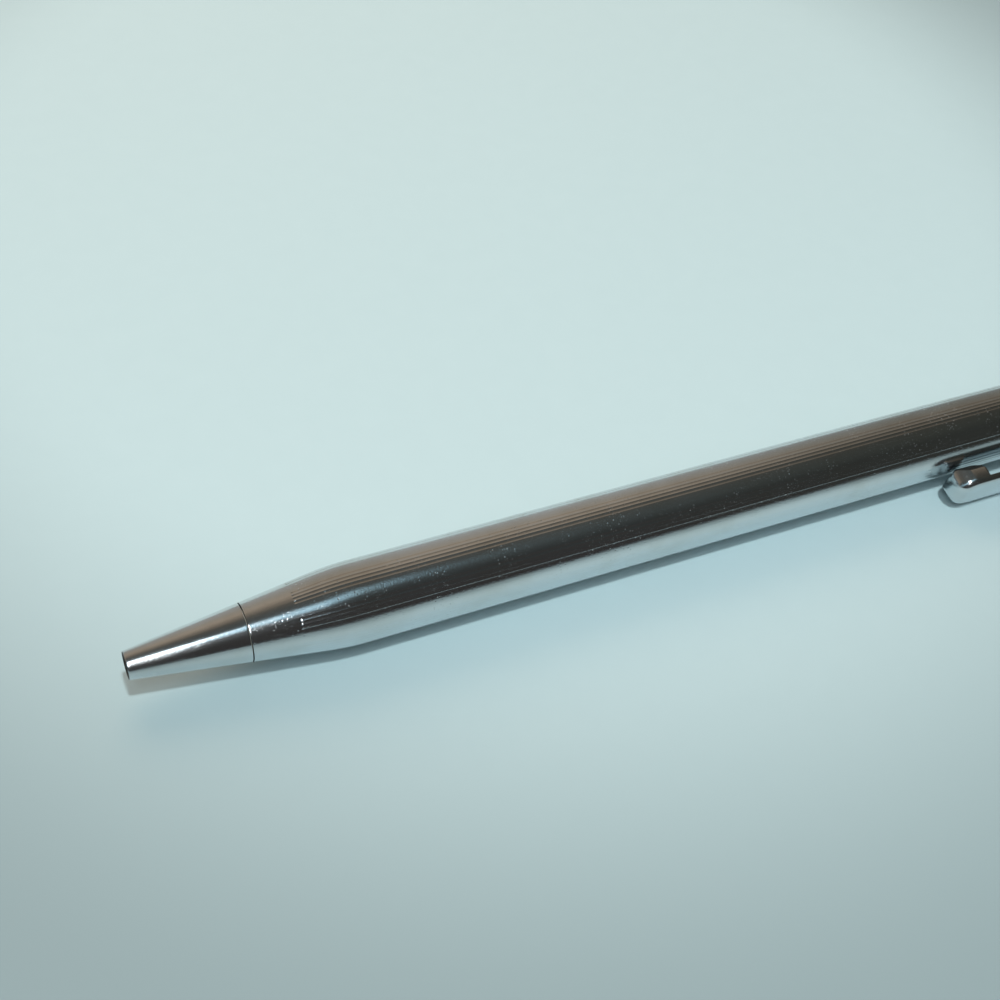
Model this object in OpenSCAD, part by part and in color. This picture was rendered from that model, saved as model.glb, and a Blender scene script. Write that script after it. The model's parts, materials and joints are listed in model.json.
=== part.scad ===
// Slim push-button ballpoint pen, bright metal outside, lying on a table on its barrel and clip.
// Stations run along the pen from the tip of the nose cone, and the point is drawn in at rest.
// The pen lies along X with the tip toward -X. The clip lies toward -Y, low at the table.
// The origin is on the table under the middle of the pen's outline.

/* [Nose cone] */
// Width across the tip
tip_d = 2.6; // [2.5:0.05:2.8]
// Width of the hole for the point
tip_hole_d = 2.0; // [1.96:0.01:2.08]
// Length of the hole before it widens inside
tip_land = 2.5; // [2.2:0.1:2.8]
// Rounding of the rim at the tip
tip_round = 0.2; // [0.1:0.05:0.25]
// Length from the tip to the joint with the barrel
nose_len = 10.7; // [10.2:0.1:11.2]
// Slope of the cone to the pen's axis in degrees
cone_slope = 7.66; // [7.5:0.02:7.8]
// Bevel on both edges of the joint
seam_bevel = 0.07; // [0.03:0.01:0.1]
// Length of the screwed spigot behind the joint
spigot_len = 8; // [6.5:0.5:8.5]
// Width of the relief turned behind the joint
relief_w = 0.8; // [0.6:0.1:1]
// Depth of that relief
relief_depth = 0.25; // [0.22:0.01:0.28]
// Width of the chamber that holds the spring
chamber_d = 3.7; // [3.66:0.01:3.76]
// Width of the guide in front of the spring
guide_d = 2.9; // [2.84:0.02:2.96]
// Station of the spring's seat from the tip
spring_seat = 8.2; // [8:0.1:8.5]

/* [Barrel] */
// Width across the barrel
barrel_d = 7.8; // [7.7:0.05:8]
// Length from the joint to the rear end
barrel_len = 107.3; // [102:0.5:112]
// Thickness of the wall
barrel_wall = 0.55; // [0.5:0.01:0.6]
// Thickness of the thin lip at the joint
lip_wall = 0.32; // [0.28:0.01:0.36]
// Length of the curve between cone and barrel
shoulder_len = 4; // [3:0.25:5]
// Station where the rear starts to narrow
taper_at = 78; // [74:0.5:80]
// Width across the rear end
rear_d = 7.5; // [7.45:0.05:7.6]
// Bevel on the rear end
rear_bevel = 0.08; // [0.04:0.01:0.12]
// Plain length in front of the cut lines
front_plain = 5; // [4.5:0.1:5.5]
// Plain length behind the cut lines
rear_plain = 6; // [5:0.5:9]
// Groups of cut lines around the barrel
line_groups = 8; // [6:1:9]
// Cut lines in a group
group_lines = 4; // [3:1:5]
// Angle from line to line in degrees
line_pitch = 5.6; // [5.5:0.1:6]
// Width of a line
line_w = 0.25; // [0.2:0.01:0.27]
// Depth of a line
line_depth = 0.07; // [0.04:0.01:0.1]
// Turn of the lines from the clip in degrees
line_turn = -10.4; // [-20:0.2:20]

/* [Front bush] */
// Length behind the barrel's taper
bush_tail = 2.6; // [2:0.1:3]
// Distance from the start of the taper inside to the bush
bush_set = 2; // [1.6:0.1:2.6]

/* [Clip] */
// Station of the free end from the tip
clip_end_at = 84; // [82:0.2:86]
// Width at the free end
clip_end_w = 4.6; // [4.4:0.05:4.8]
// Width at the root
clip_root_w = 4.7; // [4.5:0.05:4.9]
// Height of the outer face over the pen's axis at the free end
clip_end_h = 7; // [6.9:0.05:7.2]
// Fall of the outer face from the free end to the root
clip_fall = 0.05; // [0:0.05:0.2]
// Thickness of the strip
clip_sheet = 0.7; // [0.65:0.05:0.85]
// Rounding of the free end's corners
clip_corner = 2; // [1.7:0.05:2.1]
// Rounding of the outer face's long edges
clip_edge = 0.6; // [0.5:0.05:0.65]
// Rounding of the bend at the root
clip_bend = 1.5; // [1.2:0.1:1.8]
// Length of the rounded foot under the free end
foot_len = 3.5; // [3.3:0.1:3.7]
// Radius of the foot's underside across the clip
foot_r = 2.75; // [2.65:0.05:2.9]
// Space between foot and barrel
foot_gap = 0.08; // [0.05:0.01:0.12]

/* [Clip band] */
// Length of the band
band_len = 2.4; // [2.2:0.1:2.6]
// Height of the band over the barrel's end
band_rise = 0.1; // [0.05:0.01:0.12]
// Height of the lug's top over the pen's axis
lug_h = 4.3; // [4.2:0.05:4.5]
// Width of the lug
lug_w = 2.6; // [2.4:0.1:2.8]
// Wall of the band
band_wall = 0.75; // [0.7:0.05:0.8]

/* [End bush and collar] */
// Length screwed into the barrel
bush_screw = 5; // [4.5:0.1:5.5]
// Length outside
bush_head = 5.1; // [4.8:0.1:5.6]
// Width of the outer end
bush_end_d = 5.9; // [5.7:0.1:6.2]
// Straight length beside the band
bush_land = 0.8; // [0.6:0.1:1]
// Length of the neck inside the collar
neck_len = 3.2; // [2.8:0.1:3.5]

/* [Push button] */
// Width of the button
button_d = 4.8; // [4.7:0.05:4.9]
// Length that stands out at rest
button_out = 10; // [9:0.25:11]
// Length inside the end bush at rest
button_in = 5.5; // [5.2:0.1:5.7]
// Thickness of the button's wall
button_wall = 0.4; // [0.36:0.01:0.44]
// Rounding of the button's end
button_round = 1.2; // [0.8:0.1:1.5]
// Thickness of the button's end
button_end = 1.2; // [1:0.1:1.5]
// Distance that the button goes in
button_travel = 6.3; // [6:0.1:6.5]

/* [Stem] */
// Width of the stem
stem_d = 4.4; // [4.3:0.02:4.44]
// Width over the guide ribs
stem_rib_d = 5.5; // [5.44:0.02:5.54]
// Length of the guide ribs
stem_rib_len = 9.9; // [9.5:0.1:10.2]
// Width of a guide rib in degrees
stem_rib_deg = 34; // [30:1:38]
// Length of the crown in front of the ribs
crown_len = 2; // [1.8:0.1:2.3]
// Depth of the crown's teeth
crown_depth = 0.9; // [0.7:0.05:1]
// Width of the bore in the stem
stem_bore_d = 3; // [2.96:0.02:3.06]
// Length of that bore
stem_bore_len = 7; // [6:0.5:8]
// Length of the plug inside the button
stem_plug_len = 9; // [8:0.5:11]

/* [Rotor] */
// Length in front of the ribs
rotor_front = 4.5; // [4.2:0.1:4.8]
// Length of the ribs
rotor_rib_len = 4; // [3.8:0.1:4.3]
// Slope of the ribs' ends in degrees
rib_slope = 30; // [25:1:35]
// Width of the pin in the stem
rotor_pin_d = 2.8; // [2.7:0.02:2.84]
// Length of that pin behind the ribs
rotor_pin_len = 3; // [2.5:0.1:4]

/* [Cam sleeve] */
// Thickness of the wall
sleeve_wall = 0.45; // [0.42:0.01:0.48]
// Width between the splines
spline_bore_d = 4.6; // [4.56:0.02:4.64]
// Width of a spline in degrees
spline_deg = 44; // [40:1:46]
// Advance at which the rotor latches
latch_advance = 5; // [4.8:0.1:5.2]
// Room in front of the rotor's ribs when the button is fully in
turn_room = 1.1; // [0.8:0.1:1.5]

/* [Refill] */
// Width of the tube
refill_d = 4.6; // [4.5:0.02:4.7]
// Thickness of the tube's wall
refill_wall = 0.3; // [0.26:0.01:0.34]
// Thickness of the tube's front wall
refill_front = 1; // [0.8:0.1:1.2]
// Width of the slim nose tube
slim_d = 2.5; // [2.46:0.01:2.54]
// Thickness of the nose tube's wall
slim_wall = 0.3; // [0.26:0.01:0.34]
// Length of the nose tube inside the refill
slim_in = 2; // [1.6:0.1:2.4]
// Bevel on the ends of the tube and the plug
refill_bevel = 0.2; // [0.1:0.05:0.3]
// Length of the end plug behind the tube
plug_head = 4.5; // [4.2:0.1:5]
// Length of the end plug inside the tube
plug_tail = 3; // [2.5:0.1:3.5]
// Width of the vent through the plug
vent_d = 0.8; // [0.6:0.05:1]
// Empty length between the grease and the end plug
air_len = 10.3; // [6:0.5:30]
// Space between the nose tube and the ink
ink_gap = 0.2; // [0.1:0.05:0.5]
// Length of the grease behind the ink
grease_len = 4; // [3:0.5:5]

/* [Point] */
// Distance from the tip to the ball at rest
point_in = 2.2; // [2:0.05:2.4]
// Width of the ball
ball_d = 1; // [0.94:0.02:1.04]
// Part of the ball that stands out of its socket
ball_out = 0.35; // [0.32:0.01:0.38]
// Width of the point's shank
shank_d = 1.85; // [1.8:0.01:1.86]
// Width of the point's front edge
lip_d = 1.24; // [1.2:0.01:1.3]
// Length of the point's taper
point_taper = 2.3; // [2:0.1:2.6]
// Length of the shank
shank_len = 8.2; // [8:0.1:8.4]
// Length of the point's collar
collar_len = 1; // [0.8:0.1:1.2]
// Length of the point's tail in the nose tube
tail_len = 4; // [3:0.25:5]
// Width of the ink feed
feed_d = 0.8; // [0.7:0.02:0.84]

/* [Return spring] */
// Width over the coils at rest
coil_d = 3.5; // [3.46:0.01:3.54]
// Thickness of the wire
wire_d = 0.35; // [0.32:0.01:0.36]
// Length between its seats at rest
spring_len = 17.3; // [17:0.1:18]
// Working turns between the closed ends
spring_turns = 9; // [8:1:11]

/* [Fits] */
// Space around pieces that slide
slide_gap = 0.05; // [0.03:0.005:0.06]
// Space around pieces that are pressed or screwed together
fit_gap = 0.01; // [0.005:0.005:0.02]
// Space between the button's stop and the end bush
stop_gap = 0.02; // [0.01:0.01:0.05]
// Space between the crown and the rotor
crown_gap = 0.05; // [0.03:0.01:0.1]

/* [Hidden] */
$fn = 64;
bright = [0.82, 0.83, 0.84];
brass_tone = [0.78, 0.62, 0.32];
steel_tone = [0.62, 0.63, 0.64];
ivory = [0.86, 0.84, 0.78];
grey_plastic = [0.36, 0.37, 0.39];
ink_blue = [0.05, 0.07, 0.32];
grease_tone = [0.80, 0.74, 0.55];
tip_r = tip_d / 2;
hole_r = tip_hole_d / 2;
barrel_r = barrel_d / 2;
rear_r = rear_d / 2;
bore_r = barrel_r - barrel_wall;
cone_wall = barrel_wall / cos(cone_slope);
function cone_r(x) = tip_r + x * tan(cone_slope);
function cone_at(r) = (r - tip_r) / tan(cone_slope);
seam_r = cone_r(nose_len);
lip_r = seam_r - lip_wall;
spigot_r = lip_r - fit_gap;
barrel_end = nose_len + barrel_len;
// Inside, the barrel's bore follows the cone from the lip to the straight bore
bore_cone_at = cone_at(lip_r + cone_wall);
bore_full_at = cone_at(bore_r + cone_wall);
// The curve of the shoulder is an arc that is tangent to the cone and the barrel
shoulder_at = cone_at(barrel_r) + shoulder_len / 2;
shoulder_arc = shoulder_len / 2 / tan(cone_slope / 2);
shoulder_steps = 6;
shoulder = [for (i = [0 : shoulder_steps])
            let (a = cone_slope * (1 - i / shoulder_steps))
            [barrel_r - shoulder_arc * (1 - cos(a)), shoulder_at - shoulder_arc * sin(a)]];
outside = concat([[seam_r, nose_len]], shoulder, [[barrel_r, taper_at], [rear_r, barrel_end]]);
line_from = nose_len + front_plain;
line_to = barrel_end - rear_plain;
// The blades reach a little past the skin that they cut, inward and outward
blade_spare = 0.2;
line_foot = cone_r(line_from) - line_depth - blade_spare;
line_top = barrel_r + blade_spare;
band_end = barrel_end + band_len;
pen_end = band_end + bush_head + button_out;
bush_face = band_end + bush_head;
neck_end = band_end + neck_len;
bush_stop = barrel_end - bush_screw;
band_r = rear_r + band_rise;
neck_r = band_r - band_wall - fit_gap;
button_r = button_d / 2;
button_front = bush_face - button_in;
clip_root_h = clip_end_h - clip_fall;
// The clip's lower edge and the barrel rest on the table, which sets its turn about the axis
clip_low_end = sqrt(pow(clip_end_h, 2) + pow(clip_end_w / 2, 2));
clip_low_root = sqrt(pow(clip_root_h, 2) + pow(clip_root_w / 2, 2));
turn_end = asin(barrel_r / clip_low_end) - atan2(clip_end_w / 2, clip_end_h);
turn_root = asin(barrel_r / clip_low_root) - atan2(clip_root_w / 2, clip_root_h);
clip_dip = min(turn_end, turn_root);
clip_turn = 90 + clip_dip;
clip_reach = max(clip_end_h * cos(clip_dip) + clip_end_w / 2 * sin(clip_dip),
                 clip_root_h * cos(clip_dip) + clip_root_w / 2 * sin(clip_dip));
axis_y = (clip_reach - barrel_r) / 2;
foot_at = clip_end_at + foot_len / 2;
foot_low = barrel_r + foot_gap;
foot_mid = foot_low + foot_len / 2;
clip_nose = clip_end_h - foot_mid;
// The stem stops at the end bush, the rotor meets the stem and the refill meets the rotor
stem_back = bush_stop - stop_gap;
stem_rib_at = stem_back - stem_rib_len;
crown_at = stem_rib_at - crown_len;
rotor_back = crown_at - crown_gap;
rotor_rib_at = rotor_back - rotor_rib_len;
rotor_at = rotor_rib_at - rotor_front;
stem_r = stem_d / 2;
rib_r = stem_rib_d / 2;
plug_r = button_r - button_wall - fit_gap;
sleeve_r = bore_r - fit_gap;
slot_r = sleeve_r - sleeve_wall;
spline_r = spline_bore_d / 2;
spline_at = rotor_back - latch_advance;
sleeve_at = rotor_rib_at - button_travel - turn_room;
ribs = 4;
// Ribs and splines reach this far into the piece that carries them
rib_root = 0.2;
shoulder_seat = spring_seat + spring_len;
tube_end = rotor_at - plug_head;
refill_r = refill_d / 2;
tube_bore = refill_r - refill_wall;
slim_r = slim_d / 2;
slim_bore = slim_r - slim_wall;
ball_r = ball_d / 2;
ball_at = point_in + ball_r;
lip_at = point_in + ball_out;
shank_at = lip_at + point_taper;
collar_at = shank_at + shank_len;
slim_at = collar_at + collar_len;
slim_end = shoulder_seat + slim_in;
ink_at = slim_end + ink_gap;
grease_at = tube_end - plug_tail - air_len - grease_len;
wire_r = wire_d / 2;
coil_r = coil_d / 2 - wire_r;
coil_steps = 14;
wire_sides = 6;
// The closed turns lie a little more than a wire apart
closed_pitch = 1.2;
end_pitch = wire_d * closed_pitch;
work_len = spring_len - wire_d - 2 * end_pitch;

// Carries a pen drawn along X from its tip to its place on the table
module placed() {
    translate([-pen_end / 2, axis_y, barrel_r])
        children();
}

// Turns an outline of radius and station about the pen's axis
module turned(outline) {
    rotate([0, 90, 0])
        rotate_extrude()
            polygon(outline);
}

// Solid sector between two radii, centred on the top of the pen
module sector(r_in, r_out, wide, from, long) {
    translate([from, 0, 0])
        rotate([0, 90, 0])
            linear_extrude(long)
                difference() {
                    intersection() {
                        circle(r_out);
                        polygon([[0, 0],
                                 [-2 * r_out, -2 * r_out * tan(wide / 2)],
                                 [-2 * r_out, 2 * r_out * tan(wide / 2)]]);
                    }
                    circle(r_in);
                }
}

// Turned nose cone with the point's hole, spring chamber and screwed spigot
module nose_cone() {
    color(bright)
        placed()
            turned([[hole_r, 0],
                    [tip_r - tip_round, 0],
                    [tip_r - tip_round * (1 - cos(45)), tip_round * (1 - cos(45))],
                    [cone_r(tip_round), tip_round],
                    [cone_r(nose_len - seam_bevel), nose_len - seam_bevel],
                    [seam_r - seam_bevel, nose_len],
                    [spigot_r - relief_depth, nose_len],
                    [spigot_r - relief_depth, nose_len + relief_w],
                    [spigot_r, nose_len + relief_w],
                    [spigot_r, nose_len + spigot_len],
                    [chamber_d / 2, nose_len + spigot_len],
                    [chamber_d / 2, spring_seat],
                    [guide_d / 2, spring_seat],
                    [hole_r, tip_land]]);
}

// Moulded ring in the relief that keeps the nose cone from working loose
module joint_ring() {
    color(ivory)
        placed()
            turned([[spigot_r - relief_depth + fit_gap, nose_len + fit_gap],
                    [lip_r - fit_gap, nose_len + fit_gap],
                    [lip_r - fit_gap, nose_len + relief_w - fit_gap],
                    [spigot_r - relief_depth + fit_gap, nose_len + relief_w - fit_gap]]);
}

// Long blades that cut the groups of lines
module line_blades() {
    for (g = [0 : line_groups - 1])
        for (i = [0 : group_lines - 1])
            rotate([clip_turn + line_turn + g * 360 / line_groups
                    + (i - (group_lines - 1) / 2) * line_pitch, 0, 0])
                translate([line_from, -line_w / 2, line_foot])
                    cube([line_to - line_from, line_w, line_top - line_foot]);
}

// Skin of the barrel that the lines are cut into
module line_skin() {
    turned(concat([for (p = outside) [p[0] - line_depth, p[1]]],
                  [for (i = [len(outside) - 1 : -1 : 0]) [outside[i][0] + 1, outside[i][1]]]));
}

// Drawn tube with a tapered front and groups of fine lines along it
module barrel() {
    color(bright)
        placed()
            difference() {
                turned(concat([[lip_r, nose_len],
                               [seam_r - seam_bevel, nose_len],
                               [cone_r(nose_len + seam_bevel), nose_len + seam_bevel]],
                              shoulder,
                              [[barrel_r, taper_at],
                               [rear_r, barrel_end - rear_bevel],
                               [rear_r - rear_bevel, barrel_end],
                               [bore_r, barrel_end],
                               [bore_r, bore_full_at],
                               [lip_r, bore_cone_at]]));
                intersection() {
                    line_skin();
                    line_blades();
                }
            }
}

// Turned bush in the barrel's front that takes the nose cone's screw
module front_bush() {
    bush_at = bore_cone_at + bush_set;
    color(brass_tone)
        placed()
            turned([[lip_r, bush_at],
                    [cone_r(bush_at) - cone_wall - fit_gap, bush_at],
                    [bore_r - fit_gap, bore_full_at],
                    [bore_r - fit_gap, bore_full_at + bush_tail],
                    [lip_r, bore_full_at + bush_tail]]);
}

// Side outline of the clip over the pen's axis
module clip_side() {
    steps = 6;
    polygon(concat([[band_end, lug_h]],
                   [for (i = [0 : steps])
                       let (a = 90 * i / steps)
                       [band_end - clip_bend * (1 - cos(a)),
                        clip_root_h - clip_bend * (1 - sin(a))]],
                   [for (i = [0 : steps])
                       let (a = 90 * i / steps)
                       [clip_end_at + clip_nose * (1 - sin(a)),
                        clip_end_h - clip_nose * (1 - cos(a))]],
                   [[foot_at, foot_mid],
                    [foot_at, clip_end_h - clip_sheet],
                    [barrel_end, clip_root_h - clip_sheet],
                    [barrel_end, lug_h]]));
}

// Outline of the clip from above with a rounded free end
module clip_plan() {
    steps = 6;
    half_end = clip_end_w / 2;
    half_root = clip_root_w / 2;
    turn = [for (i = [0 : steps])
            let (a = 90 * i / steps)
            [clip_end_at + clip_corner * (1 - sin(a)), half_end - clip_corner * (1 - cos(a))]];
    polygon(concat([[band_end, -half_root], [band_end, half_root]],
                   turn,
                   [for (i = [steps : -1 : 0]) [turn[i][0], -turn[i][1]]]));
}

// Outline of the clip from its end, with the long edges of the outer face rounded
module clip_crown() {
    steps = 5;
    half = clip_root_w / 2;
    turn = [for (i = [0 : steps])
            let (a = 90 * i / steps)
            [half - clip_edge * (1 - cos(a)), clip_end_h - clip_edge * (1 - sin(a))]];
    polygon(concat([[-half, 0], [half, 0]],
                   turn,
                   [for (i = [steps : -1 : 0]) [-turn[i][0], turn[i][1]]]));
}

// Foot under the free end, rounded along the pen and across it, up into the strip
module clip_foot() {
    wide = clip_root_w + clip_end_w;
    intersection() {
        union() {
            intersection() {
                translate([foot_at, 0, foot_mid])
                    rotate([90, 0, 0])
                        cylinder(wide, r = foot_len / 2, center = true);
                translate([clip_end_at, -wide / 2, barrel_r])
                    cube([foot_len, wide, foot_mid - barrel_r]);
            }
            translate([foot_at, -wide / 2, foot_mid])
                cube([foot_len / 2, wide, clip_nose - clip_sheet / 2]);
        }
        translate([clip_end_at - foot_len, 0, foot_low + foot_r])
            rotate([0, 90, 0])
                cylinder(3 * foot_len, r = foot_r);
    }
}

// Pressed clip: a strip bent down to the band's lug at its root, with a rounded foot
module clip() {
    wide = clip_root_w + clip_end_w;
    tall = clip_root_h + clip_end_h;
    color(bright)
        placed()
            rotate([clip_turn, 0, 0])
                intersection() {
                    union() {
                        rotate([90, 0, 0])
                            linear_extrude(wide, center = true)
                                clip_side();
                        clip_foot();
                    }
                    linear_extrude(tall)
                        clip_plan();
                    rotate([90, 0, 90])
                        linear_extrude(pen_end)
                            clip_crown();
                }
}

// Band behind the barrel with the lug that carries the clip
module clip_band() {
    color(bright)
        placed()
            rotate([clip_turn, 0, 0])
                difference() {
                    union() {
                        turned([[neck_r + fit_gap, barrel_end],
                                [band_r - rear_bevel, barrel_end],
                                [band_r, barrel_end + rear_bevel],
                                [band_r, band_end - rear_bevel],
                                [band_r - rear_bevel, band_end],
                                [neck_r + fit_gap, band_end]]);
                        translate([barrel_end, -lug_w / 2, neck_r + band_wall / 2])
                            cube([band_len, lug_w, lug_h - neck_r - band_wall / 2]);
                    }
                    translate([barrel_end - 1, 0, 0])
                        rotate([0, 90, 0])
                            cylinder(r = neck_r + fit_gap, h = band_len + 2);
                }
}

// Turned bush screwed into the barrel's end, with a neck that carries the band and collar
module end_bush() {
    bore = button_r + slide_gap;
    color(brass_tone)
        placed()
            turned([[bore, bush_stop],
                    [bore_r - fit_gap, bush_stop],
                    [bore_r - fit_gap, barrel_end],
                    [neck_r, barrel_end],
                    [neck_r, neck_end],
                    [bore, neck_end]]);
}

// Turned collar on the neck that clamps the band and guides the button
module end_collar() {
    bore = button_r + slide_gap;
    end_r = bush_end_d / 2;
    land_at = band_end + bush_land;
    steps = 8;
    color(bright)
        placed()
            turned(concat([[neck_r + fit_gap, band_end],
                           [band_r - rear_bevel, band_end],
                           [band_r, band_end + rear_bevel]],
                          [for (i = [0 : steps])
                              let (a = 90 * i / steps)
                              [end_r + (band_r - end_r) * cos(a),
                               land_at + (bush_head - bush_land) * sin(a)]],
                          [[bore, bush_face],
                           [bore, neck_end],
                           [neck_r + fit_gap, neck_end]]));
}

// Drawn button with a flat end and a rounded rim
module button_cap() {
    inside = button_r - button_wall;
    steps = 6;
    color(bright)
        placed()
            turned(concat([[inside, button_front],
                           [button_r, button_front]],
                          [for (i = [0 : steps])
                              let (a = 90 * i / steps)
                              [button_r - button_round * (1 - cos(a)),
                               pen_end - button_round + button_round * sin(a)]],
                          [[0, pen_end],
                           [0, pen_end - button_end],
                           [inside, pen_end - button_end]]));
}

// Moulded stem with guide ribs and a toothed crown, plugged into the button
module button_stem() {
    teeth = 2 * ribs;
    color(ivory)
        placed()
            difference() {
                union() {
                    turned([[0, crown_at],
                            [stem_r, crown_at],
                            [stem_r, button_front],
                            [plug_r, button_front],
                            [plug_r, button_front + stem_plug_len],
                            [0, button_front + stem_plug_len]]);
                    for (k = [0 : ribs - 1])
                        rotate([k * 360 / ribs, 0, 0])
                            sector(stem_r - rib_root, rib_r, stem_rib_deg, stem_rib_at, stem_rib_len);
                }
                translate([crown_at - 1, 0, 0])
                    rotate([0, 90, 0])
                        cylinder(r = stem_bore_d / 2, h = stem_bore_len + 1);
                for (k = [0 : teeth - 1])
                    rotate([(k + 0.5) * 360 / teeth, 0, 0])
                        translate([crown_at, 0, stem_r])
                            rotate([0, 0, 45])
                                cube([crown_depth, crown_depth, 2 * stem_r], center = true);
            }
}

// Moulded rotor whose ribs have sloped ends
module rotor() {
    color(grey_plastic)
        placed()
            union() {
                turned([[0, rotor_at],
                        [stem_r, rotor_at],
                        [stem_r, rotor_rib_at],
                        [rotor_pin_d / 2, rotor_rib_at],
                        [rotor_pin_d / 2, rotor_back + rotor_pin_len],
                        [0, rotor_back + rotor_pin_len]]);
                for (k = [0 : ribs - 1])
                    rotate([k * 360 / ribs, 0, 0])
                        difference() {
                            sector(rotor_pin_d / 2 - rib_root, rib_r, stem_rib_deg,
                                   rotor_rib_at - rib_root, rotor_rib_len + rib_root);
                            translate([rotor_back, -rib_r * sin(stem_rib_deg / 2), 0])
                                rotate([0, 0, -rib_slope])
                                    translate([0, -rib_r, 0])
                                        cube([rib_r, 4 * rib_r, 2 * rib_r]);
                        }
            }
}

// Moulded sleeve whose splines guide the stem and hold the rotor
module cam_sleeve() {
    color(grey_plastic)
        placed()
            difference() {
                union() {
                    turned([[slot_r, sleeve_at],
                            [sleeve_r, sleeve_at],
                            [sleeve_r, bush_stop],
                            [slot_r, bush_stop]]);
                    for (k = [0 : ribs - 1])
                        rotate([(k + 0.5) * 360 / ribs, 0, 0])
                            sector(spline_r, slot_r + rib_root, spline_deg,
                                   spline_at, bush_stop - spline_at);
                }
                for (k = [0 : ribs - 1])
                    rotate([(k + 0.5) * 360 / ribs, 0, 0])
                        translate([spline_at, spline_r * sin(spline_deg / 2), 0])
                            rotate([0, 0, -rib_slope])
                                translate([-slot_r, -spline_r * 2, 0])
                                    cube([slot_r, spline_r * 2, slot_r]);
            }
}

function spring_x(turn) =
    turn < 1 ? wire_r + end_pitch * turn
    : turn < 1 + spring_turns ? wire_r + end_pitch + work_len * (turn - 1) / spring_turns
    : wire_r + end_pitch + work_len + end_pitch * (turn - 1 - spring_turns);

// Wound spring with a closed turn at each end
module return_spring() {
    rings = coil_steps * (spring_turns + 2);
    n = wire_sides;
    points = [for (i = [0 : rings])
              for (j = [0 : n - 1])
              let (turn = i / coil_steps,
                   r = coil_r + wire_r * cos(360 * j / n),
                   x = spring_seat + spring_x(turn) + wire_r * sin(360 * j / n))
              [x, r * cos(360 * turn), r * sin(360 * turn)]];
    skin = [for (i = [0 : rings - 1])
            for (j = [0 : n - 1])
            [i * n + j, i * n + (j + 1) % n, (i + 1) * n + (j + 1) % n, (i + 1) * n + j]];
    front = [[for (j = [n - 1 : -1 : 0]) j]];
    back = [[for (j = [0 : n - 1]) rings * n + j]];
    color(steel_tone)
        placed()
            polyhedron(points, concat(skin, front, back));
}

// Hard ball at the end of the point
module point_ball() {
    color(steel_tone)
        placed()
            translate([ball_at, 0, 0])
                sphere(ball_r);
}

// Turned point that holds the ball and feeds it
module point_socket() {
    cup = ball_r + fit_gap;
    steps = 8;
    from = acos((ball_at - lip_at) / cup);
    to = 180 - asin(feed_d / 2 / cup);
    color(steel_tone)
        placed()
            turned(concat([for (i = [0 : steps])
                              let (a = from + (to - from) * i / steps)
                              [cup * sin(a), ball_at - cup * cos(a)]],
                          [[feed_d / 2, slim_at + tail_len],
                           [slim_bore - fit_gap, slim_at + tail_len],
                           [slim_bore - fit_gap, slim_at],
                           [slim_r, slim_at],
                           [slim_r, collar_at],
                           [shank_d / 2, collar_at],
                           [shank_d / 2, shank_at],
                           [lip_d / 2, lip_at]]));
}

// Slim tube between the point and the refill's body
module slim_tube() {
    color(brass_tone)
        placed()
            turned([[slim_bore, slim_at],
                    [slim_r, slim_at],
                    [slim_r, slim_end],
                    [slim_bore, slim_end]]);
}

// Drawn body of the refill, closed in front around the slim tube
module refill_tube() {
    inner = slim_r + fit_gap;
    color(brass_tone)
        placed()
            turned([[inner, shoulder_seat],
                    [refill_r - refill_bevel, shoulder_seat],
                    [refill_r, shoulder_seat + refill_bevel],
                    [refill_r, tube_end],
                    [tube_bore, tube_end],
                    [tube_bore, shoulder_seat + refill_front],
                    [inner, shoulder_seat + refill_front]]);
}

// Ink that fills the front of the tube
module ink_column() {
    color(ink_blue)
        placed()
            turned([[0, ink_at],
                    [tube_bore - fit_gap, ink_at],
                    [tube_bore - fit_gap, grease_at],
                    [0, grease_at]]);
}

// Grease that follows the ink and keeps it from drying
module ink_grease() {
    color(grease_tone)
        placed()
            turned([[0, grease_at],
                    [tube_bore - fit_gap, grease_at],
                    [tube_bore - fit_gap, grease_at + grease_len],
                    [0, grease_at + grease_len]]);
}

// Moulded plug in the refill's rear that the rotor pushes
module refill_plug() {
    color(ivory)
        placed()
            turned([[vent_d / 2, tube_end - plug_tail],
                    [tube_bore - fit_gap, tube_end - plug_tail],
                    [tube_bore - fit_gap, tube_end],
                    [refill_r, tube_end],
                    [refill_r - refill_bevel, rotor_at],
                    [vent_d / 2, rotor_at]]);
}

nose_cone();
joint_ring();
barrel();
front_bush();
clip();
clip_band();
end_bush();
end_collar();
button_cap();
button_stem();
rotor();
cam_sleeve();
return_spring();
point_ball();
point_socket();
slim_tube();
refill_tube();
ink_column();
ink_grease();
refill_plug();
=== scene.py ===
import json
import math
import bmesh
import bpy
from mathutils import Matrix, Vector


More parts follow.
